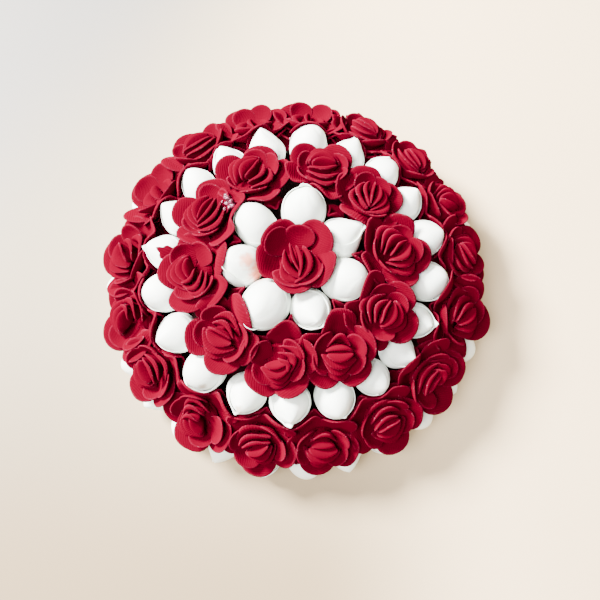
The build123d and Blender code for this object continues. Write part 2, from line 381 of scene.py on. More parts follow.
def fold_shape(folds, across_by, along_by, half_long, foot_up, top_up, lean, bow, phase):
    """A leaf-like fold in the heart of the rose: it rises, then rolls over away from the middle."""
    c, s = math.cos(folds), math.sin(folds)

    def shape(across, along):
        share = np.clip((along + 1) / 2, -0.05, 1.05)
        crest = 1 - across**2
        run = half_long * across * (0.80 + 0.20 * share) + along_by
        roll = (1 - np.cos(share * np.pi / 2)) ** 0.9
        side = across_by * (1 - bow * across**2) + lean * roll * (0.35 + 0.65 * crest)
        side = side + 0.08 * np.sin(3 * across + phase) * share
        up = foot_up + (top_up - foot_up) * np.sin(share * 0.54 * np.pi)
        up = up - 0.22 * half_long * across**2 * share
        return np.stack([c * run - s * side, s * run + c * side, up], 1)

    return shape


# Folds in a heart, as shares of the rose's half width: how far across and along from the middle,
# half length, lean, and how far below the rose's top they end. The turn is in degrees.
Fold = namedtuple("Fold", "across along long lean drop turn")
HEARTS = {
    "tiles": [
        Fold(-0.44, 0.00, 0.44, -0.18, 0.20, 0),
        Fold(-0.24, 0.00, 0.42, 0.08, 0.05, 0),
        Fold(-0.06, 0.00, 0.46, 0.24, 0.00, 0),
        Fold(0.14, 0.00, 0.54, 0.30, 0.08, 0),
        Fold(0.34, 0.00, 0.60, 0.33, 0.20, 0),
        Fold(0.54, 0.00, 0.62, 0.34, 0.34, 0),
    ],
    "left_corner": [
        Fold(0.54, 0.04, 0.60, 0.33, 0.30, 0),
        Fold(0.35, 0.04, 0.56, 0.31, 0.17, 0),
        Fold(0.17, 0.06, 0.48, 0.26, 0.06, 0),
        Fold(0.02, 0.06, 0.36, 0.12, 0.00, 0),
        Fold(-0.50, -0.06, 0.46, -0.30, 0.28, -62),
        Fold(-0.32, -0.10, 0.40, -0.26, 0.14, -62),
        Fold(-0.15, -0.14, 0.30, -0.18, 0.04, -62),
    ],
    "stack": [
        Fold(-0.50, 0.00, 0.60, -0.33, 0.30, 0),
        Fold(-0.30, 0.03, 0.56, -0.30, 0.15, 0),
        Fold(-0.12, -0.02, 0.48, -0.22, 0.04, 0),
        Fold(0.04, 0.02, 0.42, 0.10, 0.00, 0),
        Fold(0.18, -0.02, 0.50, 0.27, 0.06, 0),
        Fold(0.36, 0.03, 0.58, 0.32, 0.18, 0),
        Fold(0.55, 0.00, 0.60, 0.33, 0.33, 0),
    ],
    "nested": [
        Fold(-0.44, 0.00, 0.50, -0.30, 0.26, 0),
        Fold(-0.24, 0.00, 0.46, -0.22, 0.10, 0),
        Fold(-0.06, 0.02, 0.40, -0.08, 0.00, 0),
        Fold(0.10, 0.00, 0.48, 0.24, 0.03, 0),
        Fold(0.28, 0.00, 0.58, 0.31, 0.13, 0),
        Fold(0.48, 0.02, 0.64, 0.34, 0.28, 0),
    ],
    "fan": [
        Fold(-0.44, -0.04, 0.60, -0.30, 0.26, -26),
        Fold(-0.28, -0.02, 0.56, -0.24, 0.12, -16),
        Fold(-0.12, 0.00, 0.50, -0.16, 0.02, -7),
        Fold(0.03, 0.02, 0.46, 0.04, 0.00, 0),
        Fold(0.16, 0.00, 0.50, 0.20, 0.03, 8),
        Fold(0.32, -0.02, 0.56, 0.27, 0.14, 17),
        Fold(0.48, -0.04, 0.60, 0.31, 0.28, 27),
    ],
    "bowl": [
        Fold(-0.30, 0.10, 0.50, -0.20, 0.46, 0),
        Fold(0.00, 0.04, 0.40, 0.16, 0.34, 0),
        Fold(0.30, 0.10, 0.54, 0.28, 0.44, 0),
    ],
    "crown": [
        Fold(0.42, -0.22, 0.52, 0.30, 0.32, 37),
        Fold(0.22, -0.22, 0.52, 0.22, 0.14, 15),
        Fold(0.03, -0.10, 0.46, 0.08, 0.03, 0),
        Fold(-0.11, -0.20, 0.48, -0.08, 0.00, -6),
        Fold(-0.31, -0.22, 0.54, -0.22, 0.10, -24),
        Fold(-0.56, -0.14, 0.54, -0.30, 0.26, -40),
    ],
}
HEARTS["corner"] = [fold._replace(along=-fold.along, turn=-fold.turn) for fold in HEARTS["left_corner"]]


# How a rose's lobes spread: reach as a share of its half width, what inward lobes add, and tip height
Spread = namedtuple("Spread", "reach inward tip_up")
RING_SPREAD = Spread(1.16, 0.20, 11.2)
CROWN_SPREAD = Spread(1.05, 0.0, 12.4)
LOW_PETAL_FOOT = (0.8, 2.4)


def add_low_petal(gather, place, turn, reach, tip_up, half_wide, teeth=0.0):
    """A petal of a rose's lowest layer, which fills the room between the flowers beside it."""
    add_petal(gather, place, lobe_shape(
        turn, LOW_PETAL_FOOT, reach, tip_up, half_wide, 0.10, rng.uniform(0.05, 0.25),
        rng.uniform(0.05, 0.2), rng.uniform(0, 6), teeth,
    ), PETAL_THICK, rng.uniform(0, 3) + turn, 0.8 * half_wide)


def add_rose(gather, place, half_width, folds_turn, heart, lobe_turn, spread=RING_SPREAD, teeth=0.0):
    """A velvet rose: stem, five flared lobes, four cupped petals and the folds of its heart."""
    folds = turn_in_place(place, folds_turn)
    first_lobe = turn_in_place(place, lobe_turn)
    outer_foot = LOBE_HEIGHT - (half_width - STEM_RADIUS) * math.tan(math.radians(LOBE_ANGLE))
    add_turned(gather, place, [
        (0, -SEAT_GAP), (1.1 * STEM_RADIUS, -SEAT_GAP), (STEM_RADIUS, 0.25 * outer_foot),
        (STEM_RADIUS, outer_foot), (1.5 * STEM_RADIUS, outer_foot + 2.0), (0, outer_foot + 2.6),
    ])
    grain = rng.uniform(0, np.pi)
    for k in range(LOBE_COUNT):
        turn = first_lobe + math.radians(360 / LOBE_COUNT * k + rng.uniform(-6, 6))
        reach = spread.reach + rng.uniform(-0.04, 0.04) + spread.inward * max(math.sin(turn), 0.0)
        reach += LOBE_DOWNHILL * max(-math.sin(turn), 0.0)
        shingle = 0.8 * math.cos(turn) if spread.inward else 0.0
        add_petal(gather, place, lobe_shape(
            turn, (0.10 * half_width, outer_foot - 0.4), half_width * reach,
            spread.tip_up + shingle + rng.uniform(-0.4, 0.4), 0.64 * half_width * rng.uniform(0.95, 1.08),
            rng.uniform(0.12, 0.26), rng.uniform(0.10, 0.34), rng.uniform(0.05, 0.22), rng.uniform(0, 6),
            teeth,
        ), PETAL_THICK, grain + turn, 0.5 * half_width)
    grain = rng.uniform(0, np.pi)
    for cup_turn in CUP_TURNS:
        turn = folds + math.radians(cup_turn + rng.uniform(-8, 8))
        add_petal(gather, place, cup_shape(
            turn, (0.16 * half_width, outer_foot + 2.0), half_width * rng.uniform(0.80, 0.88),
            CUP_HEIGHT + rng.uniform(-0.5, 0.3), 0.42 * half_width, 0.66 * half_width,
            rng.uniform(0.15, 0.35), rng.uniform(0, 6),
        ), PETAL_THICK, grain + turn, 0.42 * half_width)
    grain = rng.uniform(0, np.pi)
    for fold in HEARTS[heart]:
        top = ROSE_HEIGHT - FOLD_TOP_GAP - half_width * fold.drop + rng.uniform(-0.35, 0.35)
        add_petal(gather, place, fold_shape(
            folds + math.radians(fold.turn + rng.uniform(-7, 7)), fold.across * half_width,
            fold.along * half_width, fold.long * half_width * rng.uniform(0.88, 1.10),
            top - FOLD_HEIGHT, top, fold.lean * half_width, 0.55, rng.uniform(0, 6),
        ), FOLD_THICK, grain, 0.4 * half_width)


# Buds


def bud_profile(up_share, taper):
    """Radius of a bud as a share of its half width, from its neck below 0 to its tip above."""
    low = np.clip(-up_share / BUD_NECK_SHARE, 0, 1)
    high = np.clip(up_share / BUD_TIP_SHARE, 0, 1)
    neck = BUD_NECK_RADIUS / (BUD_WIDTH / 2)
    below = neck + (1 - neck) * np.sqrt(np.clip(1 - low**2.2, 0, 1))
    above = 0.03 + 0.97 * np.clip(1 - high ** (2.4 - 0.7 * taper), 0, 1) ** (0.5 + 0.25 * taper)
    return np.where(up_share < 0, below, above)


BUD_SPOKES = 40
WRAP_ROWS = 12
WRAP_FOOT = 0.93
KERNEL_SHARE = 0.965
KERNEL_HEIGHTS = np.concatenate([
    np.linspace(-BUD_NECK_SHARE, 0.0, 9), BUD_TIP_SHARE * np.sin(np.linspace(0.08, 0.5, 16) * np.pi),
])


def add_bud(gather, place, half_width, taper, lip, point, crease):
    """A foam bud: a smooth kernel with a twisted tip, and a petal wrapped round it up to its lip.

    The lip is its height, slant and thickness, and the point is the turn and length of the lip's tip.
    """
    lip_up, lip_slant, lip_thick = lip
    point_turn, point_long = point
    bud = Gather()
    turns = np.arange(BUD_SPOKES) * 2 * np.pi / BUD_SPOKES
    bend = rng.uniform(-0.10, 0.10, 2)
    pleat, pleat_turn = rng.uniform(0.2, 0.8), rng.uniform(0, 6)
    creases = [(rng.uniform(0, 2 * np.pi), rng.uniform(0.10, 0.22), rng.uniform(0.3, 1.0)) for _ in range(3)]

    def kernel(up_share, angle):
        high = np.clip(up_share / BUD_TIP_SHARE, 0, 1)
        twist = angle + 0.9 * high**2
        pinch = 1 - 0.05 * pleat * high * (1 + np.cos(3 * twist + pleat_turn))
        for crease_turn, wide, deep in creases:
            off = np.angle(np.exp(1j * (twist - crease_turn)))
            pinch = pinch - crease * deep * 0.14 * np.exp(-(off / wide) ** 2) * high**1.5
        return KERNEL_SHARE * half_width * bud_profile(up_share, taper) * pinch

    rings = [np.array([[0, 0, -BUD_NECK_SHARE * half_width]])]
    for up_share in KERNEL_HEIGHTS:
        shift = bend * half_width * max(up_share, 0) ** 2
        rings.append(ring_points(turns, kernel(up_share, turns), up_share * half_width) + (*shift, 0))
    tip_shift = bend * half_width * KERNEL_HEIGHTS[-1] ** 2
    rings.append(np.array([[tip_shift[0], tip_shift[1], (KERNEL_HEIGHTS[-1] + 0.02) * half_width]]))
    points = np.concatenate(rings)
    faces = turned_faces(len(KERNEL_HEIGHTS), BUD_SPOKES)
    bud.add(points, faces, points[:, :2].copy(), np.zeros((len(points), 2)))

    # The wrapped petal starts under its own end and climbs to a slanted lip
    start = point_turn + math.pi * 0.75
    oval, oval_turn = rng.uniform(0.0, 0.07), rng.uniform(0, 6)
    spokes = BUD_SPOKES + 6
    share = np.linspace(0, 1, spokes)
    angle = start + share * (2 * np.pi + 0.7)
    off = np.angle(np.exp(1j * (angle - point_turn)))
    slant = np.sin(angle - rng.uniform(-0.5, 0.5))
    rim = lip_up - lip_slant * slant + point_long * np.exp(-(off / 0.30) ** 2)
    rim = rim - 0.5 * np.clip(1 - share / 0.12, 0, 1) - 0.5 * np.clip((share - 0.88) / 0.12, 0, 1)
    rows = WRAP_ROWS
    sheets = []
    for side in (0.0, 1.0):
        grid = []
        for row in range(rows):
            climb = row / (rows - 1)
            up_share = -WRAP_FOOT + (rim + WRAP_FOOT) * climb
            outer_side = (1 - np.sin(angle)) / 2
            flare = 0.05 * np.clip(climb - 0.7, 0, 1) / 0.3 * outer_side**2
            radius = KERNEL_SHARE * half_width * bud_profile(np.minimum(up_share, 1.10), taper)
            radius = radius + 0.15 * lip_thick * share + flare * half_width
            thick = lip_thick * (0.35 + 0.65 * outer_side) * (0.5 + 0.5 * climb)
            radius = radius + side * thick
            grid.append(ring_points(angle, radius, up_share * half_width))
        sheets.append(np.array(grid))
    inner, outer = sheets
    top = (inner[-1] + outer[-1]) / 2 + np.array((0, 0, 0.15))
    points = np.concatenate([inner.reshape(-1, 3), outer.reshape(-1, 3), top])
    size = rows * spokes
    faces = []
    for row in range(rows - 1):
        for k in range(spokes - 1):
            a, b = row * spokes + k, row * spokes + k + 1
            faces.append([a, a + spokes, b + spokes, b])
            faces.append([size + a, size + b, size + b + spokes, size + a + spokes])
    for k in range(spokes - 1):
        faces.append([k, k + 1, size + k + 1, size + k])
        last = (rows - 1) * spokes + k
        faces.append([last, 2 * size + k, 2 * size + k + 1, last + 1])
        faces.append([size + last, size + last + 1, 2 * size + k + 1, 2 * size + k])
    for k, flip in ((0, False), (spokes - 1, True)):
        for row in range(rows - 1):
            a = row * spokes + k
            face = [a, size + a, size + a + spokes, a + spokes]
            faces.append(face[::-1] if flip else face)
        last = (rows - 1) * spokes + k
        face = [last, size + last, 2 * size + k]
        faces.append(face[::-1] if flip else face)
    edge = np.zeros((len(points), 2))
    edge[2 * size:, 1] = 1
    bud.add(points, faces, points[:, :2].copy(), edge)
    whole = np.concatenate(bud.points)
    around = np.arctan2(whole[:, 1], whole[:, 0])
    whole[:, :2] *= (1 - oval * (1 + np.cos(2 * (around - oval_turn))) / 2)[:, None]
    gather.add(
        in_place(place, whole), bud.faces,
        np.concatenate(bud.grain), np.concatenate(bud.edge),
    )


# Materials, which measure an object's places in metres and the cloth's own map in millimetres


def effect_group(name, inputs, outputs):
    """An empty shader node group with named sockets, and its input and output nodes."""
    group = bpy.data.node_groups.new(name, "ShaderNodeTree")
    for socket, kind, value in inputs:
        made = group.interface.new_socket(socket, in_out="INPUT", socket_type=kind)
        if value is not None:
            made.default_value = value
    for socket, kind in outputs:
        group.interface.new_socket(socket, in_out="OUTPUT", socket_type=kind)
    return group, group.nodes.new("NodeGroupInput"), group.nodes.new("NodeGroupOutput")


def feed(tree, node, values):
    """Feeds a node's inputs: sets numbers and colours, and links other nodes' sockets."""
    for name, value in values.items():
        if isinstance(value, bpy.types.NodeSocket):
            tree.links.new(value, node.inputs[name])
        else:
            node.inputs[name].default_value = value


def math_node(tree, operation, *values):
    """A math node whose inputs are numbers or other nodes' sockets; gives its output socket."""
    node = tree.nodes.new("ShaderNodeMath")
    node.operation = operation
    feed(tree, node, dict(enumerate(values)))
    return node.outputs[0]


def mix_colours(tree, share, *colours):
    """A mix of two colours or sockets; gives its output socket."""
    node = tree.nodes.new("ShaderNodeMix")
    node.data_type = "RGBA"
    first, second = [(*colour, 1) if isinstance(colour, tuple) else colour for colour in colours]
    feed(tree, node, {0: share, 6: first, 7: second})
    return node.outputs[2]


def noise_of(tree, place, scale, detail=3.0, rough=0.55):
    """Noise over a place socket; gives its value socket."""
    node = tree.nodes.new("ShaderNodeTexNoise")
    feed(tree, node, {"Vector": place, "Scale": scale, "Detail": detail, "Roughness": rough})
    return node.outputs["Fac"]


def soft_step(tree, value, low, high):
    """0 below low and 1 above high, with a smooth rise between."""
    node = tree.nodes.new("ShaderNodeMapRange")
    node.interpolation_type = "SMOOTHSTEP"
    feed(tree, node, {"Value": value, "From Min": low, "From Max": high})
    return node.outputs["Result"]


def ribbed_weave_group():
    """Fine ribs across a cloth, broken up along their length, from the flat cloth's map in millimetres."""
    group, given, out = effect_group("ribbed_weave", [
        ("Grain", "NodeSocketVector", None), ("Pitch", "NodeSocketFloat", 0.5),
    ], [("Height", "NodeSocketFloat"), ("Thread", "NodeSocketFloat")])
    parts = group.nodes.new("ShaderNodeSeparateXYZ")
    group.links.new(given.outputs["Grain"], parts.inputs[0])
    wobble = noise_of(group, given.outputs["Grain"], 0.8, 2.0)
    run = math_node(group, "ADD", parts.outputs["X"], math_node(group, "MULTIPLY", wobble, 0.5))
    phase = math_node(group, "MULTIPLY", math_node(group, "DIVIDE", run, given.outputs["Pitch"]), 2 * math.pi)
    rib = math_node(group, "MULTIPLY_ADD", math_node(group, "SINE", phase), 0.5, 0.5)
    cross_pitch = math_node(group, "MULTIPLY", given.outputs["Pitch"], 1.7)
    crossing = math_node(group, "DIVIDE", parts.outputs["Y"], cross_pitch)
    cross_phase = math_node(group, "MULTIPLY", crossing, 2 * math.pi)
    cross = math_node(group, "MULTIPLY_ADD", math_node(group, "SINE", cross_phase), 0.5, 0.5)
    both = math_node(group, "MULTIPLY", rib, math_node(group, "MULTIPLY_ADD", cross, 0.35, 0.65))
    nap = noise_of(group, given.outputs["Grain"], 5.0, 3.0, 0.7)
    feed(group, out, {"Height": math_node(group, "MULTIPLY_ADD", nap, 0.6, both), "Thread": both})
    return group


def frayed_edge_group():
    """A mask of pale fibres along a cut cloth edge, from the edge map's second value."""
    group, given, out = effect_group("frayed_edge", [
        ("Edge", "NodeSocketVector", None), ("Place", "NodeSocketVector", None),
    ], [("Mask", "NodeSocketFloat"), ("Speckle", "NodeSocketFloat")])
    parts = group.nodes.new("ShaderNodeSeparateXYZ")
    group.links.new(given.outputs["Edge"], parts.inputs[0])
    fuzz = noise_of(group, given.outputs["Place"], 2600.0, 2.0, 0.6)
    broad = noise_of(group, given.outputs["Place"], 240.0, 2.0, 0.5)
    reach = math_node(group, "MULTIPLY_ADD", fuzz, 0.16, parts.outputs["Y"])
    reach = math_node(group, "MULTIPLY_ADD", broad, 0.14, reach)
    spark = noise_of(group, given.outputs["Place"], 4200.0, 1.0, 0.5)
    feed(group, out, {
        "Mask": soft_step(group, reach, 1.08, 1.19), "Speckle": soft_step(group, spark, 0.70, 0.78),
    })
    return group


def tone_patch_group():
    """Broad uneven tone over a surface."""
    group, given, out = effect_group("tone_patch", [("Place", "NodeSocketVector", None)], [
        ("Broad", "NodeSocketFloat"), ("Fine", "NodeSocketFloat"),
    ])
    place = given.outputs["Place"]
    feed(group, out, {
        "Broad": noise_of(group, place, 160.0, 3.0), "Fine": noise_of(group, place, 1500.0, 4.0, 0.6),
    })
    return group


def stain_spot_group():
    """A soft-edged spot round a place, broken up by noise."""
    group, given, out = effect_group("stain_spot", [
        ("Place", "NodeSocketVector", None), ("Centre", "NodeSocketVector", None),
        ("Radius", "NodeSocketFloat", 0.003),
    ], [("Mask", "NodeSocketFloat")])
    far = group.nodes.new("ShaderNodeVectorMath")
    far.operation = "DISTANCE"
    feed(group, far, {0: given.outputs["Place"], 1: given.outputs["Centre"]})
    share = math_node(group, "DIVIDE", far.outputs["Value"], given.outputs["Radius"])
    ragged = math_node(group, "MULTIPLY_ADD", noise_of(group, given.outputs["Place"], 700.0, 3.0), 0.9, share)
    feed(group, out, {"Mask": math_node(group, "SUBTRACT", 1.0, soft_step(group, ragged, 0.75, 1.45))})
    return group


RIBBED_WEAVE = ribbed_weave_group()
FRAYED_EDGE = frayed_edge_group()
TONE_PATCH = tone_patch_group()
STAIN_SPOT = stain_spot_group()


def new_finish(name):
    """A material with an empty tree but for its shader; gives material, tree and shader."""
    material = bpy.data.materials.new(name)
    material.use_nodes = True
    tree = material.node_tree
    return material, tree, tree.nodes["Principled BSDF"]


def placed_group(tree, group, **sockets):
    """A node group placed in a material, with its inputs linked or set."""
    node = tree.nodes.new("ShaderNodeGroup")
    node.node_tree = group
    feed(tree, node, sockets)
    return node


def surface_place(tree):
    return tree.nodes.new("ShaderNodeTexCoord").outputs["Object"]


def map_named(tree, name):
    node = tree.nodes.new("ShaderNodeUVMap")
    node.uv_map = name
    return node.outputs["UV"]


def bump_into(tree, shader, height, strength, distance):
    node = tree.nodes.new("ShaderNodeBump")
    feed(tree, node, {"Height": height, "Strength": strength, "Distance": distance})
    feed(tree, shader, {"Normal": node.outputs["Normal"]})


def red_velvet():
    material, tree, shader = new_finish("red_velvet")
    place = surface_place(tree)
    weave = placed_group(tree, RIBBED_WEAVE, Grain=map_named(tree, "grain"), Pitch=0.5)
    frayed = placed_group(tree, FRAYED_EDGE, Edge=map_named(tree, "edge"), Place=place)
    tone = placed_group(tree, TONE_PATCH, Place=place)
    pile = mix_colours(tree, tone.outputs["Broad"], *VELVET_PILE)
    thread = math_node(tree, "MULTIPLY", weave.outputs["Thread"], 0.45)
    ribs = mix_colours(tree, thread, pile, VELVET_THREAD)
    fray = math_node(tree, "MULTIPLY", frayed.outputs["Mask"], 0.08)
    edged = mix_colours(tree, fray, ribs, VELVET_EDGE)
    lint_share = math_node(tree, "MULTIPLY_ADD", frayed.outputs["Mask"], 0.60, 0.006)
    lint = math_node(tree, "MULTIPLY", frayed.outputs["Speckle"], lint_share)
    feed(tree, shader, {
        "Base Color": mix_colours(tree, lint, edged, VELVET_LINT),
        "Roughness": 0.82, "Diffuse Roughness": 1.0, "Specular IOR Level": 0.0,
        "Sheen Weight": 0.002, "Sheen Roughness": 0.45, "Sheen Tint": VELVET_SHEEN,
    })
    bump_into(tree, shader, weave.outputs["Height"], 0.55, 0.00018)
    return material


def white_foam():
    material, tree, shader = new_finish("white_foam")
    place = surface_place(tree)
    tone = placed_group(tree, TONE_PATCH, Place=place)
    broad = soft_step(tree, tone.outputs["Broad"], 0.35, 0.70)
    base = mix_colours(tree, broad, *FOAM_TONES)
    for stain in STAINS:
        middle = tuple(stain_middle(stain) * MM)
        spot = placed_group(tree, STAIN_SPOT, Place=place, Centre=middle, Radius=stain.radius * MM)
        share = math_node(tree, "MULTIPLY", spot.outputs["Mask"], stain.strength)
        base = mix_colours(tree, share, base, stain.colour)
    feed(tree, shader, {
        "Base Color": base, "Roughness": 0.50, "Specular IOR Level": 0.35, "Subsurface Weight": 0.15,
        "Subsurface Radius": (0.0012, 0.0010, 0.0008), "Subsurface Scale": 1.0,
    })
    height = math_node(tree, "MULTIPLY_ADD", tone.outputs["Broad"], 3.0, tone.outputs["Fine"])
    bump_into(tree, shader, height, 0.35, 0.00012)
    return material


def dark_cap_cloth():
    material, tree, shader = new_finish("dark_cap_cloth")
    place = surface_place(tree)
    weave = placed_group(tree, RIBBED_WEAVE, Grain=map_named(tree, "grain"), Pitch=0.9)
    tone = placed_group(tree, TONE_PATCH, Place=place)
    cloth = mix_colours(tree, tone.outputs["Broad"], *CAP_TONES)
    thread = math_node(tree, "MULTIPLY", weave.outputs["Thread"], 0.6)
    colour = mix_colours(tree, thread, cloth, CAP_THREAD)
    feed(tree, shader, {"Base Color": colour, "Roughness": 0.9, "Specular IOR Level": 0.1})
    bump_into(tree, shader, weave.outputs["Height"], 0.8, 0.0003)
    return material


def pale_floor_painted_light():
    material, tree, shader = new_finish("pale_floor_painted_light")
    place = surface_place(tree)
    cloudy = noise_of(tree, place, 5.0, 2.0)
    parts = tree.nodes.new("ShaderNodeSeparateXYZ")
    tree.links.new(place, parts.inputs[0])
    clouds = soft_step(tree, cloudy, 0.35, 0.65)
    east, north = parts.outputs["X"], parts.outputs["Y"]
    # Painted light and shade on the floor: painted shade on the left, painted light on the right, painted
    # shade in the far left corner
    left_painted_shade = mix_colours(tree, clouds, *FLOOR_LEFT_PAINTED_SHADE)
    right_painted_light = mix_colours(tree, clouds, *FLOOR_RIGHT_PAINTED_LIGHT)
    corner = mix_colours(tree, clouds, *FLOOR_CORNER_PAINTED_SHADE)
    front = mix_colours(tree, clouds, *FLOOR_FRONT_PAINTED_SHADE)
    tone = mix_colours(tree, soft_step(tree, east, -0.10, 0.07), left_painted_shade, right_painted_light)
    corner_shade_share = soft_step(tree, math_node(tree, "SUBTRACT", north, east), 0.09, 0.19)
    tone = mix_colours(tree, corner_shade_share, tone, corner)
    # near and beside mask the painted shade in front of the dome, stronger on its left side
    near = soft_step(tree, math_node(tree, "MULTIPLY", north, -1.0), 0.0, 0.10)
    beside = math_node(tree, "MULTIPLY_ADD", soft_step(tree, east, 0.0, 0.07), -0.75, 0.85)
    tone = mix_colours(tree, math_node(tree, "MULTIPLY", near, beside), tone, front)
    feed(tree, shader, {"Base Color": tone, "Roughness": 0.7})
    return material


# Pieces

petal_parts = []


def finish_piece(name, gather, material, slot, *nodes):
    """Turns what was gathered into one mesh piece in metres, in place of its nodes."""
    mesh = bpy.data.meshes.new(name)
    points = np.concatenate(gather.points) * MM
    mesh.from_pydata(points.tolist(), [], gather.faces)
    corners = np.zeros(len(mesh.loops), dtype=np.int32)
    mesh.loops.foreach_get("vertex_index", corners)
    for map_name, values in (("grain", gather.grain), ("edge", gather.edge)):
        layer = mesh.uv_layers.new(name=map_name)
        layer.data.foreach_set("uv", np.concatenate(values)[corners].astype(np.float32).ravel())
    mesh.polygons.foreach_set("use_smooth", np.ones(len(mesh.polygons), dtype=bool))
    mesh.materials.append(material)
    mesh.update()
    piece = bpy.data.objects.new(name, mesh)
    bpy.context.scene.collection.objects.link(piece)
    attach(piece, "root")
    if slot == "red_velvet":
        petal_parts.extend(gather.points)
    if nodes:
        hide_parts(*nodes)


# Roses: turn on the cap, turn that the folds run along, heart, turn of the first lobe, depth of teeth,
# and size beside the solid's
Rose = namedtuple("Rose", "turn folds heart lobes teeth size", defaults=(0, 1.0))
INNER_ROSES = [
    Rose(115, 62, "nested", 150), Rose(74, 4, "stack", 60), Rose(41, 75, "fan", 20),
    Rose(6, 35, "stack", 0), Rose(329, 62, "stack", 40), Rose(295, 178, "tiles", 310),
    Rose(261, 182, "left_corner", 230), Rose(226, 148, "nested", 190), Rose(186, 95, "left_corner", 100),
    Rose(150, 62, "fan", 160),
]
OUTER_ROSES = [
    Rose(105, 100, "bowl", 60), Rose(85, 84, "bowl", 110), Rose(65, 130, "fan", 80, 0.20),
    Rose(45, 110, "stack", 50, 0.12), Rose(26, 2, "tiles", 30, 0.16, 1.03),
    Rose(7, 150, "stack", 340, 0, 1.06), Rose(346, 30, "nested", 350, 0, 1.08), Rose(322, 60, "corner", 310),
    Rose(301, 30, "stack", 300, 0, 0.97), Rose(279, 170, "tiles", 270, 0, 0.92),
    Rose(258, 30, "nested", 260, 0, 0.95), Rose(237, 110, "corner", 240, 0, 0.98),
    Rose(214, 110, "stack", 220, 0, 1.06), Rose(195, 60, "corner", 200, 0, 1.22),
    Rose(173, 130, "nested", 170, 0, 1.10), Rose(148, 125, "bowl", 150, 0, 1.08),
    Rose(126, 30, "stack", 130, 0, 1.04),
]

# Crown rose: turn that its folds run along, and turn of its first lobe
CROWN_FOLDS = 106
CROWN_LOBES = 48

# Inner buds: turn on the cap, lean, how much they swell out of their room, how thick the lip is,
# and how pointed the tip is, from 0 for round to 1.6 for a cone
Bud = namedtuple("Bud", "turn lean swell lip taper")
INNER_BUDS = [
    Bud(80, 10, 1.10, 0.20, 0.5), Bud(27, 40, 1.04, 0.45, 1.6), Bud(338, 24, 1.08, 0.10, 0.2),
    Bud(288, 30, 1.00, 0.45, 1.0), Bud(238, 30, 1.12, 0.08, 0.3), Bud(186, 8, 1.06, 0.25, 0.4),
    Bud(137, 30, 1.04, 0.10, 0.2),
]
MIDDLE_BUD_TURNS = [
    103, 84, 66, 49, 32, 14, 355, 337, 321, 305, 287, 268, 249, 229, 209, 190, 172, 155, 138, 121,
]


def room_halves(turns, out, widest):
    """Half width of each bud in a ring, where neighbours part the room between them."""
    halves = []
    for i in range(len(turns)):
        rooms = [widest]
        for j in (i - 1, (i + 1) % len(turns)):
            apart = 2 * out * abs(math.sin(math.radians(turns[i] - turns[j]) / 2))
            rooms.append((apart - SIDE_GAP) / 2)
        halves.append(min(rooms))
    return halves


belly_lift = SEAT_GAP + BUD_WIDTH / 2

inner_bud_places = []
for number, bud in enumerate(INNER_BUDS, 1):
    guess = flower_place(INNER_BUDS_OUT, belly_lift, bud.turn, bud.lean)
    half = bud.swell * widest_of(f"inner_bud_{number}", guess)
    inner_bud_places.append((flower_place(INNER_BUDS_OUT, SEAT_GAP + half, bud.turn, bud.lean), half))

middle_bud_places = []
halves = room_halves(MIDDLE_BUD_TURNS, cap_seat(MIDDLE_BUDS_OUT, belly_lift)[0], BUD_WIDTH / 2)
for turn, half in zip(MIDDLE_BUD_TURNS, halves):
    middle_bud_places.append((flower_place(MIDDLE_BUDS_OUT, SEAT_GAP + half, turn, MIDDLE_BUD_LEAN), half))

rim_bud_places = []
rim_buds_out = (SHOULDER_OUT + math.sqrt(SHOULDER_RADIUS**2 - (BUD_WIDTH / 2) ** 2)) / CAP_RADIUS
for number in range(RIM_BUD_COUNT):
    turn = RIM_BUD_FIRST_TURN + number * 360 / RIM_BUD_COUNT
    rim_bud_places.append((flower_place(rim_buds_out, belly_lift, turn, RIM_BUD_LEAN), BUD_WIDTH / 2))

eggs.extend(bud_egg(*bud) for bud in inner_bud_places + middle_bud_places + rim_bud_places)

# Small stains on the foam: the bud, the turn of its stained side, the climb from 0 at its belly to 90 at
# its tip, how far out in its egg the stain's middle lies, and radius, colour and strength
Stain = namedtuple("Stain", "bud turn climb out radius colour strength")
STAINS = [
    Stain(inner_bud_places[5], 5, 45, 0.80, 3.2, (0.78, 0.20, 0.08), 0.80),
    Stain(inner_bud_places[5], 335, 5, 0.89, 4.0, (0.78, 0.17, 0.07), 0.85),
    Stain(middle_bud_places[12], 205, 90, 0.98, 2.0, (0.30, 0.19, 0.10), 0.7),
    Stain(middle_bud_places[13], 320, 55, 0.98, 1.8, (0.32, 0.21, 0.12), 0.7),
]


def stain_middle(stain):
    """Where the middle of a stain lies, in its bud's egg."""
    place, egg = stain.bud[0], bud_egg(*stain.bud)
    side, climb = turn_in_place(place, stain.turn), math.radians(stain.climb)
    across = math.cos(side) * place.sideways + math.sin(side) * place.inward
    reach = egg.half_width * math.cos(climb) * across + egg.half_length * math.sin(climb) * place.axis
    return egg.middle + stain.out * reach


VELVET = red_velvet()
FOAM = white_foam()
CAP_CLOTH = dark_cap_cloth()

for number, (bud, stand) in enumerate(zip(INNER_BUDS, inner_bud_places), 1):
    gather = Gather()
    lip = (rng.uniform(0.40, 0.60), 0.70, bud.lip)
    add_bud(gather, *stand, bud.taper, lip, (rng.uniform(3.9, 5.5), 0.12), rng.uniform(0.5, 1.2))
    finish_piece(f"inner_bud_{number}_foam", gather, FOAM, "white_foam", f"inner_bud_{number}")

for ring, places in (("middle_buds", middle_bud_places), ("rim_buds", rim_bud_places)):
    gather = Gather()
    for stand in places:
        lip = (rng.uniform(0.25, 0.55), rng.uniform(0.5, 0.8), rng.uniform(0.08, 0.50))
        taper = rng.uniform(0, 1.4)
        point = (rng.uniform(3.9, 5.5), rng.uniform(0.0, 0.2))
        add_bud(gather, *stand, taper, lip, point, rng.uniform(0.4, 1.3))
    finish_piece(f"{ring}_foam", gather, FOAM, "white_foam", ring)

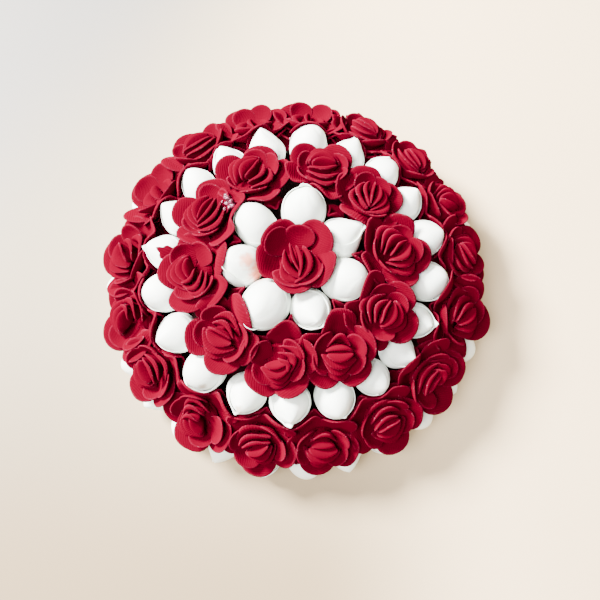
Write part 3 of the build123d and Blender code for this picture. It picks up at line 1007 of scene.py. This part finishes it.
# Low petals that fill gaps: in the notches between the inner buds, and beside each outer rose, where
# a filler leans inward and a shelf leans outward. Each has its reach, tip height and half width.
NOTCH_OUT = 0.46
NOTCH_TURNS = (108.5, 53.5, 2.5, 313.0, 263.0, 212.0, 161.5)
NOTCH_PETAL = (10.5, 7.5, 4.0)
FILLER_OUT = 0.94
FILLER_ASIDE = 9.5
FILLER_PETAL = (7.5, 7.0, 4.2)
SHELF_OUT = 0.79
SHELF_ASIDE = 10.5
SHELF_PETAL = (7.0, 6.0, 5.0)

# Low petals of an outer rose: turn about its axis, reach and tip height
OUTER_LOW_PETALS = [(0, 11.5, 6.0), (38, 11.5, 7.4), (90, 11.5, 6.6), (142, 11.5, 8.6), (180, 11.5, 7.2)]
OUTER_LOW_HALF_WIDE = 5.2

# Small frayed petals that stick out from under a rose: their turn, reach, tip height and half width
TORN_TEETH = 0.15
Torn = namedtuple("Torn", "node turn reach tip_up half_wide")
TORN_PETALS = [Torn("inner_rose_09", 149, 14.5, 10.0, 2.6)]


def nearest_rose(turn):
    """The inner rose that stands nearest to a turn."""
    apart = [abs((rose.turn - turn + 180) % 360 - 180) for rose in INNER_ROSES]
    return f"inner_rose_{apart.index(min(apart)) + 1:02d}"


for ring, roses, out_share, lean in (
    ("inner_rose", INNER_ROSES, INNER_ROSES_OUT, 0.0),
    ("outer_rose", OUTER_ROSES, OUTER_ROSES_OUT, OUTER_ROSE_LEAN),
):
    for number, rose in enumerate(roses, 1):
        node = f"{ring}_{number:02d}"
        lift = SEAT_GAP + STEM_RADIUS * math.sin(math.radians(abs(lean)))
        place = flower_place(out_share, lift, rose.turn, lean)
        half = rose.size * widest_of(node, place)
        gather = Gather()
        add_rose(gather, place, half, rose.folds, rose.heart, rose.lobes, teeth=rose.teeth)
        if ring == "outer_rose":
            for turn, reach, tip_up in OUTER_LOW_PETALS:
                add_low_petal(gather, place, math.radians(turn), reach, tip_up, OUTER_LOW_HALF_WIDE)
            filler = flower_place(FILLER_OUT, SEAT_GAP, rose.turn - FILLER_ASIDE)
            add_low_petal(gather, filler, math.pi / 2, *FILLER_PETAL)
            shelf = flower_place(SHELF_OUT, SEAT_GAP, rose.turn - SHELF_ASIDE)
            add_low_petal(gather, shelf, -math.pi / 2, *SHELF_PETAL)
        for notch in NOTCH_TURNS:
            if nearest_rose(notch) == node:
                add_low_petal(gather, flower_place(NOTCH_OUT, SEAT_GAP, notch), math.pi / 2, *NOTCH_PETAL)
        for torn in TORN_PETALS:
            if torn.node == node:
                turn = turn_in_place(place, torn.turn)
                add_low_petal(gather, place, turn, torn.reach, torn.tip_up, torn.half_wide, TORN_TEETH)
        finish_piece(f"{node}_petals", gather, VELVET, "red_velvet", node)

crown_place = flower_place(0, SEAT_GAP, 0)
crown_half = widest_of("crown_rose", crown_place)
gather = Gather()
add_rose(gather, crown_place, crown_half, CROWN_FOLDS, "crown", CROWN_LOBES, CROWN_SPREAD)
finish_piece("crown_rose_petals", gather, VELVET, "red_velvet", "crown_rose")


# Glue

petal_points = np.concatenate(petal_parts)
NEAREST_POINTS = 12


def top_of_petals(east, north):
    """Height of the highest of the petals' points that lie nearest to a place."""
    near = np.argsort(np.hypot(petal_points[:, 0] - east, petal_points[:, 1] - north))[:NEAREST_POINTS]
    return float(petal_points[near, 2].max())


def add_lump(gather, middle, size, spokes=12, rows=8):
    """A small uneven lump of glue with a broken surface."""
    turns = np.arange(spokes) * 2 * np.pi / spokes
    rises = np.linspace(-np.pi / 2, np.pi / 2, rows + 1)[1:-1]
    rings = [np.array([[0.0, 0.0, -1.0]])]
    for rise in rises:
        rings.append(ring_points(turns, np.cos(rise), np.sin(rise)))
    rings.append(np.array([[0.0, 0.0, 1.0]]))
    points = np.concatenate(rings)
    points = points * rng.uniform(0.72, 1.18, (len(points), 1)) * size + np.array(middle)
    faces = turned_faces(len(rises), spokes)
    gather.add(points, faces, points[:, :2].copy(), np.zeros((len(points), 2)))


def clear_glue():
    """Hot glue with a pink cast from the cloth below, cloudy inside."""
    material, tree, shader = new_finish("clear_glue")
    tone = placed_group(tree, TONE_PATCH, Place=surface_place(tree))
    cloud = soft_step(tree, tone.outputs["Fine"], 0.42, 0.60)
    colour = mix_colours(tree, cloud, *GLUE_TONES)
    feed(tree, shader, {"Base Color": colour, "Roughness": 0.22, "Coat Weight": 0.4, "Coat Roughness": 0.12})
    bump_into(tree, shader, tone.outputs["Fine"], 0.8, 0.0004)
    return material


# Lumps of glue: east, north and half size
GLUE_LUMPS = [
    (-19.6, 18.2, (0.8, 0.9, 0.6)), (-18.9, 17.2, (0.9, 0.8, 0.7)), (-19.2, 16.0, (0.9, 0.7, 0.6)),
    (-18.0, 16.4, (0.7, 0.9, 0.7)), (-17.6, 15.2, (0.8, 0.9, 0.6)), (-18.5, 14.8, (0.6, 0.7, 0.5)),
    (-19.9, 14.6, (0.5, 0.6, 0.4)), (-20.6, 16.9, (0.4, 0.5, 0.4)), (-1.5, 43.0, (0.4, 0.5, 0.3)),
]
gather = Gather()
for east, north, size in GLUE_LUMPS:
    add_lump(gather, (east, north, top_of_petals(east, north) + 0.2 * size[2]), np.array(size))
finish_piece("glue_traces", gather, clear_glue(), None)


# Cap


def cap_profile(inset, count):
    """Points of the cap's profile from its rim to its crown, inset from its outside."""
    points = []
    for k in range(count):
        slope = math.pi / 2 * (1 - k / (count - 1))
        if slope > JOIN_SLOPE:
            middle_out, middle_up, radius = SHOULDER_OUT, 0.0, SHOULDER_RADIUS - inset
        else:
            middle_out, middle_up, radius = 0.0, CROWN_DROP, CROWN_RADIUS - inset
        points.append((middle_out + radius * math.sin(slope), middle_up + radius * math.cos(slope)))
    return points


CAP_PANELS = 6
CAP_ROWS = 26
CAP_SPOKES = 96
SEAM_DEPTH = 0.35
SAG_DEPTH = 0.12


def add_cap(gather):
    """The cap: two faces of stiff cloth in six sewn panels, and a bound rim."""
    turns = np.arange(CAP_SPOKES) * 2 * np.pi / CAP_SPOKES
    seam = np.abs(np.sin(CAP_PANELS * turns / 2))
    groove = SEAM_DEPTH * np.exp(-(seam / 0.12) ** 2)
    rings, grain = [], []
    outside = cap_profile(0, CAP_ROWS)
    inside = cap_profile(CAP_WALL, CAP_ROWS)[::-1]
    for side, profile in ((-1, outside), (1, inside)):
        for out, up in profile:
            sag = SAG_DEPTH * np.sin(5 * turns + up / 4) * side
            fade = min(1.0, out / 8.0) * min(1.0, up / 3.0)
            radius = np.maximum(out + (side * 0.5 * groove + sag * 0.5) * fade, 0.02)
            rings.append(ring_points(turns, radius, max(up, 0.0)))
            grain.append(np.stack([turns * CAP_RADIUS, np.full(CAP_SPOKES, up)], 1))
    points = np.concatenate(rings)
    faces = []
    count = len(rings)
    for ring in range(count):
        if ring == CAP_ROWS - 1:
            continue
        low, high = ring * CAP_SPOKES, (ring + 1) % count * CAP_SPOKES
        for k in range(CAP_SPOKES):
            n = (k + 1) % CAP_SPOKES
            faces.append([low + k, low + n, high + n, high + k])
    top_out = (CAP_ROWS - 1) * CAP_SPOKES
    faces.append([top_out + k for k in range(CAP_SPOKES)])
    top_in = CAP_ROWS * CAP_SPOKES
    faces.append([top_in + k for k in reversed(range(CAP_SPOKES))])
    gather.add(points, faces, np.concatenate(grain), np.zeros((len(points), 2)))


gather = Gather()
add_cap(gather)
finish_piece("cap_cloth", gather, CAP_CLOTH, "dark_cap_cloth", "backing_cap")


# Floor, light and camera

floor_mesh = bpy.data.meshes.new("floor")
floor_corners = [
    (east * FLOOR_HALF, north * FLOOR_HALF, 0) for east, north in ((-1, -1), (1, -1), (1, 1), (-1, 1))
]
floor_mesh.from_pydata(floor_corners, [], [[0, 1, 2, 3]])
floor_mesh.materials.append(pale_floor_painted_light())
floor = bpy.data.objects.new("floor", floor_mesh)
floor.location = (0, 0, -FLOOR_DROP)
bpy.context.scene.collection.objects.link(floor)

for lamp in LAMPS:
    light = bpy.data.lights.new(lamp.name, "AREA")
    light.shape = "DISK"
    light.size = lamp.size
    light.energy = lamp.power
    light.color = lamp.colour
    holder = bpy.data.objects.new(lamp.name, light)
    holder.location = lamp.place
    holder.rotation_mode = "QUATERNION"
    holder.rotation_quaternion = (Vector(lamp.aim) - Vector(lamp.place)).to_track_quat("-Z", "Y")
    bpy.context.scene.collection.objects.link(holder)

world = bpy.data.worlds.new("studio")
world.use_nodes = True
world.node_tree.nodes["Background"].inputs["Color"].default_value = (*SKY_COLOUR, 1)
world.node_tree.nodes["Background"].inputs["Strength"].default_value = SKY_STRENGTH
bpy.context.scene.world = world

camera_data = bpy.data.cameras.new("camera")
camera_data.sensor_width = CAMERA_SENSOR
camera_data.lens = CAMERA_LENS
camera = bpy.data.objects.new("camera", camera_data)
camera.location = tuple(c * MM for c in CAMERA_PLACE)
camera.rotation_euler = (math.radians(CAMERA_TILT), 0, 0)
camera_data.clip_start, camera_data.clip_end = CAMERA_CLIP
bpy.context.scene.collection.objects.link(camera)
bpy.context.scene.camera = camera
